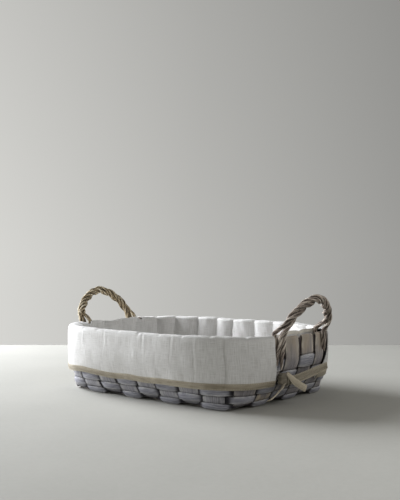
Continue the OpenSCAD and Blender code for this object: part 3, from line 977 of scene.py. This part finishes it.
def bulge(s, z):
    """How the tub's wall swells inward between creases, how near a crease is, and how deep."""
    s, z = np.broadcast_arrays(np.asarray(s, float) % ROUND, np.asarray(z, float))
    at = CREASES + CREASE_SHIFT + CREASE_LEAN * (z[..., None] - 84)
    i = np.clip((at <= s[..., None]).sum(-1) - 1, 0, len(CREASES) - 2)
    left = np.take_along_axis(at, i[..., None], -1)[..., 0]
    right = np.take_along_axis(at, i[..., None] + 1, -1)[..., 0]
    u = np.clip((s - left) / (right - left), 0, 1)
    near = np.minimum(s - left, right - s)
    depth = mix(CREASE_DEPTH[i], CREASE_DEPTH[i + 1], u)
    return depth * np.sin(np.pi * u) ** 0.75, near, depth


def tub_off(s, z):
    """Where the middle of the tub's wall stands, from the wall surface of the splints."""
    swell = bulge(s, z)[0]
    fade = ease(z, [0, 18, 55, 90], [0.1, 0.35, 1.0, 1.0])
    gap = mix(TUB_GAP_BASE, TUB_GAP_RIM, flare(z)) + 0.8
    return -gap - 5.0 * fade * (swell - 0.35) - 0.35 * fade * crumple(s, z) - 0.6 * ripple_long(s, z)


def rim_drop(s):
    """How far the rim of the cloth dips at the creases."""
    near, depth = bulge(s, 84.0)[1:]
    return -0.8 * depth * hill(near, 2.6) + 0.6 * ripple_long(s, 0) + 0.15 * crumple(s, 0)


def cloth_paint(n, m):
    return np.full((n, m, 4), 0.5) + [0, 0, 0, 0.5]


def cloth_piece(node, part, finish=LINEN):
    return new_piece(node + "_cloth", [part], finish, [node], sharp=75)


def tape_piece(node, parts):
    return new_piece(node + "_tape", parts, RIBBON, [node], sharp=75)


# Wall of the tub, from the floor up to the rim
count = 560
s = np.arange(count) / count * ROUND
zs = np.concatenate([[4.2, 5.0, 6.5], np.linspace(9, 66, 18), np.linspace(68.5, TUB_TOP + 1.0, 9)])
S, Z = np.meshgrid(s, zs, indexing="ij")
rows = on_wall(th_of_run(S), Z, tub_off(S, Z), Z)
part = slab(rows, np.full(len(zs), CLOTH_T), closed=True, paint=cloth_paint(count, len(zs)))
liner_wall = cloth_piece("liner_wall", part)

# Floor of the tub, in rings from its middle to its edge
rings = np.concatenate([[0.0006], np.linspace(0.02, 0.9, 22), [0.94, 0.97, 0.99, 1.0]])
edge = outline(th_of_run(s[::2]), FLOOR_Z, -TUB_GAP_BASE - 1.6)
R, XY = rings[None, :, None], edge[:, None, :]
flat = XY * R
dunes = ripples(21, 30, 90, 18)
rise = 0.5 * np.clip(rings[None] - 0.94, 0, 1) / 0.06
z = FLOOR_Z + 0.1 + 0.35 * dunes(flat[..., 0], flat[..., 1]) + rise
rows = np.concatenate([flat, z[..., None]], -1)
points, faces, _, paint = slab(
    rows, np.full(len(rings), FLOOR_CLOTH_T), closed=True, paint=cloth_paint(*rows.shape[:2])
)
flat_uv = points[np.array(faces).ravel()][:, :2]
liner_floor = cloth_piece("liner_floor", (points, faces, flat_uv, paint))

# Cuffs: each goes from inside the rim, over it, and down the outside to its hem.
# Points are distance out from the wall and height.
FRONT_FOLD = [(-11.2, 79.6), (-10.7, 80.7), (-8.7, 81.7), (-4.7, 82.9), (-0.4, 83.4), (2.7, 82.0)]
BACK_FOLD = [(-11.2, 79.6), (-11.2, 81.6), (-10.3, 82.9), (-6.0, 83.3), (-0.4, 83.0), (2.8, 81.4)]
CUFF_DROP = [(3.9, 78.0), (4.15, 70), (4.1, 57), (4.1, 48), (4.05, 40), (4.05, 32), (4.0, HEM_Z + 0.4)]
# Place along the basket and size of the tucks over the rim and of the front cuff's seams
TUCKS_FRONT = [(-44, 0.5), (21.6, 0.45), (64, 0.4), (-86, 0.4)]
SEAMS_FRONT = [(94, 0.3), (126, 0.9)]
TUCKS_BACK = [(-60, 0.8), (10, 0.6), (52, 0.9), (-100, 0.7)]


def slit_run(at_rim, z):
    """Distance round the collar from the middle of an end to the edge of a cuff at height z."""
    up = np.clip((z - HEM_Z) / (SLIT_TOP - HEM_Z), 0, 1)
    y = mix(SLIT_HEM, at_rim, soft_step(up))
    return np.array([run_of(th_of_y(v, COLLAR_Z)) for v in y]) - run_of(0.0)


LEFT_CORNER = math.degrees(math.atan2(-half_y(COLLAR_Z) * 0.8, -half_x(COLLAR_Z) * 0.8))


def cuff_shape(back):
    """A cuff's rows of points, their places (round the collar, height, distance out) and their paint."""
    path = curve_through((BACK_FOLD if back else FRONT_FOLD) + CUFF_DROP, 5)
    off0, z0 = path[:, 0], path[:, 1]
    first, last = slit_run(SLIT_FAR, z0), ROUND / 2 - slit_run(SLIT_NEAR, z0)
    s_run = mix(first[None], last[None], np.linspace(0, 1, 340)[:, None])
    S = s_run + (ROUND / 2 if back else 0)
    O = np.broadcast_to(off0, S.shape)
    Z = np.broadcast_to(z0, S.shape)
    down = np.clip((81 - Z) / (81 - HEM_Z), 0, 1) * (O > 0)
    inner = np.clip(-O / 11, 0, 1)
    tub = tub_off(S, np.full(S.shape, 80.0)) + 11.3
    tucked_in = np.arange(len(z0)) < 6
    off = O + tub * inner**1.5 - 0.28 * tucked_in
    z = Z + rim_drop(S) * np.clip((Z - 62) / 20, 0, 1)
    wavy = ripples(31 + back, 22, 90, 26)(S, Z)
    fine = ripples(33 + back, 30, 24, 8)(S, Z * 0.6)
    out = np.clip(O / 4, 0, 1)
    off = off + out * (0.30 * wavy * (0.3 + 0.7 * down) + 0.035 * fine)
    x = outline(th_of_run(S), COLLAR_Z)[..., 0] * (-1 if back else 1)
    for where, size in TUCKS_BACK if back else TUCKS_FRONT:
        lean = 1.2 * np.sin(where) * down
        d = x - where + lean * 4
        fade = np.clip(1 - down * 1.7, 0, 1)
        off = off - out * size * fade * (0.55 * hill(d, 1.3) - 0.5 * hill(d - 3.2, 2.4))
        z = z - 0.5 * size * hill(d, 1.6) * np.clip((Z - 78) / 4, 0, 1)
    paint = cloth_paint(*S.shape)
    if not back:
        for where, size in SEAMS_FRONT:
            d = x - where + 0.8 * np.sin(Z / 9)
            step = 0.7 / (1 + np.exp(-d / 0.35)) * hill(np.maximum(d, 0), 9)
            off = off + out * size * (step - 0.5 * hill(d + 0.6, 1.0))
            # Painted shade along the seam
            paint[..., 3] -= 0.75 * size * hill(d + 0.5, 1.1) * (Z < 81)
        # Painted shade makes the rim less bright away from the window, and the cloth swells round the left
        # corner
        paint[..., 3] -= 0.5 * hill(Z - 83.2, 2.0) * ease(x, [-400, -120, -70, 400], [0, 0, 1, 1])
        corner = run_of(LEFT_CORNER)
        off = off + out * 3.2 * hill(s_run - corner, 62)
        z = z + 2.4 * ease(x, [-400, -95, -42, 400], [1, 1, 0, 0]) * np.clip((60 - Z) / 30, 0, 1)
    ends = np.minimum(s_run - s_run[0], s_run[-1] - s_run)
    off = off + out * 0.45 * hill(ends, 7)
    z = z + 0.5 * ripples(35 + back, 10, 110, 40)(S, 0 * S) * np.clip((40 - Z) / 16, 0, 1)
    return on_wall(th_of_run(S), np.minimum(z, COLLAR_Z), off, z), S, z, off, paint


def cuff(back):
    rows, s_own, z, off, paint = cuff_shape(back)
    node = "liner_cuff_back" if back else "liner_cuff_front"
    part = slab(rows, np.full(rows.shape[1], CLOTH_T), paint=paint, shift=(700.0 * back, 0))
    return cloth_piece(node, part), (s_own, off, z)


def hem_ribbon(back, shape):
    """Tape sewn over the lower edge of a cuff."""
    S, off, z = shape
    own_z = z[:, ::-1]
    ribbon_z = own_z[:, :1] + np.linspace(0.2, RIBBON_W, 9)[None] - 0.3
    ribbon_off, ribbon_s = (
        np.stack([np.interp(*row) for row in zip(ribbon_z, own_z, v[:, ::-1])]) for v in (off, S)
    )
    hem_s = S[:, -1]
    uneven = ripples(41 + back, 16, 40, 9)(hem_s, 0 * hem_s)
    puff = 0.75 + 0.35 * (1 - SIDE**4) + 0.12 * uneven[:, None]
    pts = on_wall(th_of_run(ribbon_s), ribbon_z, ribbon_off + puff, ribbon_z)
    node = "hem_ribbon_back" if back else "hem_ribbon_front"
    return tape_piece(node, [slab(pts, np.full(9, TAPE_T), shift=(500.0 + 900 * back, 0))])


def end_hem(left):
    """The folded edge of the liner that shows between the feet of a handle."""
    y = np.linspace(-SLIT_NEAR - 2, SLIT_FAR + 2, 90)
    th = np.array([th_of_y(v, COLLAR_Z) for v in y]) + (180 if left else 0)
    s_own = run_of(th)
    dip = -2.2 * (hill(y - 14, 18) if left else ease(y, [-60, -42, 15, 70], [1, 1, 0, 0]))
    edge = 0.6 * ripples(51 + left, 9, 70, 24)(y, 0 * y) + dip
    levels = np.linspace(0, 1, 11)
    from_end = np.minimum(y - y[0], y[-1] - y)
    top = 84.6 + edge - 4.6 * (1 - ease(from_end, [0, 3, 15, 400], [0, 0, 1, 1]))
    low = 76.5 + 0.3 * edge
    z = mix(low[:, None], top[:, None], levels[None])
    tub = tub_off(s_own, 80.0)
    uneven = ripples(53 + left, 14, 26, 9)(y, 0 * y)
    off = tub[:, None] - 0.9 + 0.5 * np.sin(np.pi * levels)[None] + 0.3 * uneven[:, None]
    pts = on_wall(th[:, None], COLLAR_Z, off, z)
    node = "liner_end_hem_" + ("left" if left else "right")
    thickness = np.full(11, HEM_T) * (1 - 0.4 * np.abs(np.linspace(-1, 1, 11)) ** 6)
    part = slab(pts, thickness, paint=cloth_paint(90, 11), shift=(300.0, 120.0))
    # The right hem takes the brighter linen: painted light
    return cloth_piece(node, part, LINEN if left else LIT_HEM_LINEN)


front_cuff, front_shape = cuff(False)
back_cuff, back_shape = cuff(True)
front_tape = hem_ribbon(False, front_shape)
back_tape = hem_ribbon(True, back_shape)
right_hem = end_hem(False)
left_hem = end_hem(True)


# ---- bows ----
def ribbon_part(path, up, width, steps, curl, seed, shift, tone):
    """Tape along a path. Each row of up is the direction of its width there, and width may vary too."""
    path = curve_through(path, steps)
    up = np.asarray(up, float)
    if up.ndim == 1:
        up = np.tile(up, (2, 1))
    t = np.linspace(0, 1, len(path))
    ups = np.stack([np.interp(t, np.linspace(0, 1, len(up)), up[:, i]) for i in range(3)], -1)
    d = unit(np.gradient(path, axis=0))
    s = unit(ups - d * (ups * d).sum(-1, keepdims=True))
    n = np.cross(s, d)
    e = np.linspace(-1, 1, 9)
    w = np.interp(t, np.linspace(0, 1, np.size(width)), np.atleast_1d(width))
    wave = 0.15 * ripples(90 + seed, 8, 24, 9)(t * 60, 0 * t)
    rows = path[:, None] + s[:, None] * (e[None] * w[:, None] / 2)[..., None]
    rows = rows + n[:, None] * ((curl * (e**2 - 0.4))[None] + wave[:, None])[..., None]
    return slab(rows, np.full(9, TAPE_T), shift=shift, tone=tone)


def pillow_part(centre, half, turn, seed, shift, tone):
    """The bunched heart of a knot: a rounded block with folds."""
    round_a = np.linspace(0, 2 * np.pi, 37)[:-1]
    round_b = np.linspace(-np.pi / 2, np.pi / 2, 19)[1:-1]
    a, b = np.meshgrid(round_a, round_b, indexing="ij")

    def blunt(v):
        return np.sign(v) * np.abs(v) ** 0.5

    ring = blunt(np.cos(b))
    block = np.stack([ring * blunt(np.cos(a)), blunt(np.sin(b)), ring * blunt(np.sin(a))], -1)
    fold = ripples(seed, 12, 9, 3.5)(block[..., 1] * 9 + block[..., 2] * 5, block[..., 2] * 5)
    pts = block * np.array(half) * (1 + 0.10 * fold)[..., None]
    cos, sin = math.cos(turn), math.sin(turn)
    y, z = pts[..., 1] * cos - pts[..., 2] * sin, pts[..., 1] * sin + pts[..., 2] * cos
    pts = np.stack([pts[..., 0], y, z], -1) + np.array(centre)
    n, m = pts.shape[:2]
    i, j = np.meshgrid(np.arange(n), np.arange(m - 1), indexing="ij")
    i1 = (i + 1) % n
    quads = np.stack([i * m + j, i1 * m + j, i1 * m + j + 1, i * m + j + 1], -1).reshape(-1, 4).tolist()
    quads += [[k * m for k in range(n)][::-1], [k * m + m - 1 for k in range(n)]]
    flat_pts = pts.reshape(-1, 3)
    order = np.array([v for f in quads for v in f])
    uv = flat_pts[order][:, 1:] + np.array(shift)
    return flat_pts, quads, uv, np.full((n * m, 3), 0.5) * [1, 1, 2 * tone]


# Each strip of the bow at the right end: its path, the direction and size of its width, curl and tone. The
# tone is painted light and shade: lighter on the band and the tails, darker on the loop.
# The knot comes first and is made of a block with a wrap round it.
BOW = {
    "knot": None,
    "band": dict(
        path=[
            (159.6, -27, 29.5), (161.2, -10, 29.5), (162.8, 8, 31.2),
            (164.6, 28, 34.5), (166.0, 43, 37.5), (166.2, 48, 38.5),
        ],
        up=(0, 0.1, 1), width=7.5, curl=0.5, tone=0.8,
    ),
    "loop": dict(
        path=[
            (162.2, -24, 31), (164.6, -10, 32.6), (167, 8, 35.6), (169.4, 24, 39), (171.4, 33, 40.8),
            (172.6, 38, 41.6), (172.3, 40.8, 41.8), (170.9, 39.5, 41.4), (169.2, 31, 39.4),
            (167.4, 18, 36.0), (165.4, 4, 32.4), (163.2, -12, 29.6), (161.6, -24, 28.5),
        ],
        up=(0.1, -0.2, 1), width=7.8, curl=0.7, tone=0.36,
    ),
    "short_tail": dict(
        path=[
            (162.4, -31, 38.8), (166.0, -28, 34.8), (168.2, -24.5, 30.2),
            (169.0, -17, 25.8), (168.8, -8.5, 21.8), (168.8, -0.5, 18.3),
        ],
        up=[(0.3, 1.0, 0.3), (0.3, 0.8, 0.8), (0.2, 0.5, 1)], width=[4.5, 8.0, 8.0], curl=0.6, tone=0.82,
    ),
    "long_tail": dict(
        path=[
            (161, -35, 27.5), (162.4, -40, 24.2), (164, -49, 20.8),
            (165.4, -59, 17.4), (165.8, -67, 14.8), (165.4, -73, 13.2),
        ],
        up=[(1, 0.2, 0.5), (1, 0, 0.4)], width=[4.5, 3.4, 4.4], curl=0.5, tone=1.0,
    ),
}
WRAP = [
    (160.6 + 3.8 * math.cos(a), -27.5 - 1.2 * math.sin(a), 32.2 + 7.0 * math.sin(a))
    for a in np.linspace(0, 2 * np.pi, 15)
]


def bow(left):
    side = "left" if left else "right"
    turn = HALF_TURN if left else 1
    made = []
    for index, (kind, plan) in enumerate(BOW.items()):
        if plan is None:
            centre, half = (160.2, -32.3, 32.6), (3.4, 10.6, 6.6)
            # The knot's block and wrap get a low tone: painted shade
            block = pillow_part(centre, half, math.radians(-5), 71 + left, (40.0, 0), 0.10)
            wrap = ribbon_part(WRAP, (0, 1, 0.15), 7.2, 6, 0.5, 3 + left, (120.0, 0), 0.12)
            parts = [block, wrap]
        else:
            parts = [ribbon_part(**plan, steps=8, seed=index + 7 * left, shift=(200.0 * index + 60, 0))]
        parts = [(p * turn, f, uv, paint) for p, f, uv, paint in parts]
        made.append(tape_piece(f"{side}_bow_{kind}", parts))
    return made


right_bow = bow(False)
left_bow = bow(True)

# ---- stage, light and camera ----
CAMERA_AT = np.array([0.6891, -0.8163, 0.1757])
CAMERA_TURN = math.radians(39.9)
view_dir = np.array([-math.sin(CAMERA_TURN), math.cos(CAMERA_TURN)])
view_side = np.array([math.cos(CAMERA_TURN), math.sin(CAMERA_TURN)])
# How far the floor reaches behind the basket, towards the camera and to each side, and its height
FLOOR_BEHIND, FLOOR_NEAR, FLOOR_SIDE = 0.52, 4.0, 4.0
FLOOR_AT = -0.0002
reach = ((-1, -FLOOR_NEAR), (1, -FLOOR_NEAR), (1, FLOOR_BEHIND), (-1, FLOOR_BEHIND))
corners = [view_side * a * FLOOR_SIDE + view_dir * b for a, b in reach]
floor_mesh = bpy.data.meshes.new("studio_floor")
floor_mesh.from_pydata([(x, y, FLOOR_AT) for x, y in corners], [], [(0, 1, 2, 3)])
floor_mesh.materials.append(floor_finish())
studio_floor = in_scene("studio_floor", floor_mesh)

# The studio is brighter on the window's side, dimmer behind the camera and a little dimmer overhead
GLOW = [(0.0, 1.2), (0.36, 0.70), (0.5, 0.485), (0.63, 0.325), (0.76, 0.45), (1.0, 1.1)]
world = bpy.data.worlds.new("studio")
world.use_nodes = True
sky = Nodes(world.node_tree)
toward = sky.node("ShaderNodeTexCoord", {}).outputs["Generated"]
to_side = sky.dot(toward, (*view_side, 0))
away = sky.dot(toward, (*view_dir, 0))
up = sky.dot(toward, (0, 0, 1))
glow = sky.ramp(sky.fit(to_side, -1, 1), [(position, (level, level, level, 1)) for position, level in GLOW])
behind = sky.fit(away, -0.6, 0.9, 0.61, 1.0)
above = sky.fit(up, 0.0, 0.35, 1.0, 0.80)
overhead = sky.fit(up, 0.33, 0.75, 1.0, 0.35)
background = world.node_tree.nodes["Background"]
background.inputs["Color"].default_value = (1.0, 0.995, 0.955, 1)
level = sky.times(sky.times(sky.times(glow, behind), above), overhead)
sky.put(background.inputs["Strength"], level)
bpy.context.scene.world = world


def soft_light(name, at, aim, size, watts, colour):
    data = bpy.data.lights.new(name, "AREA")
    data.shape = "DISK"
    data.size = size
    data.energy = watts
    data.color = colour
    lamp = in_scene(name, data)
    lamp.location = at
    direction = np.array(aim) - np.array(at)
    yaw = math.atan2(direction[1], direction[0])
    tilt = math.atan2(np.hypot(direction[0], direction[1]), -direction[2])
    lamp.rotation_euler = (tilt, 0, yaw - math.pi / 2)
    lamp.visible_camera = False


soft_light("window", (-1.50, -0.25, 0.60), (0, 0, 0.05), 1.25, 79.0, (0.96, 0.985, 1.03))
soft_light("fill", (0.90, 0.12, 0.62), (0.15, 0, 0.08), 0.6, 2.2, (1.0, 0.99, 0.97))

camera_data = bpy.data.cameras.new("camera")
camera_data.sensor_width = 36
camera_data.lens = 58.93
camera = in_scene("camera", camera_data)
camera.location = CAMERA_AT
camera.rotation_euler = (math.radians(90.3), 0, CAMERA_TURN)
bpy.context.scene.camera = camera
bpy.context.scene.view_settings.view_transform = "Standard"
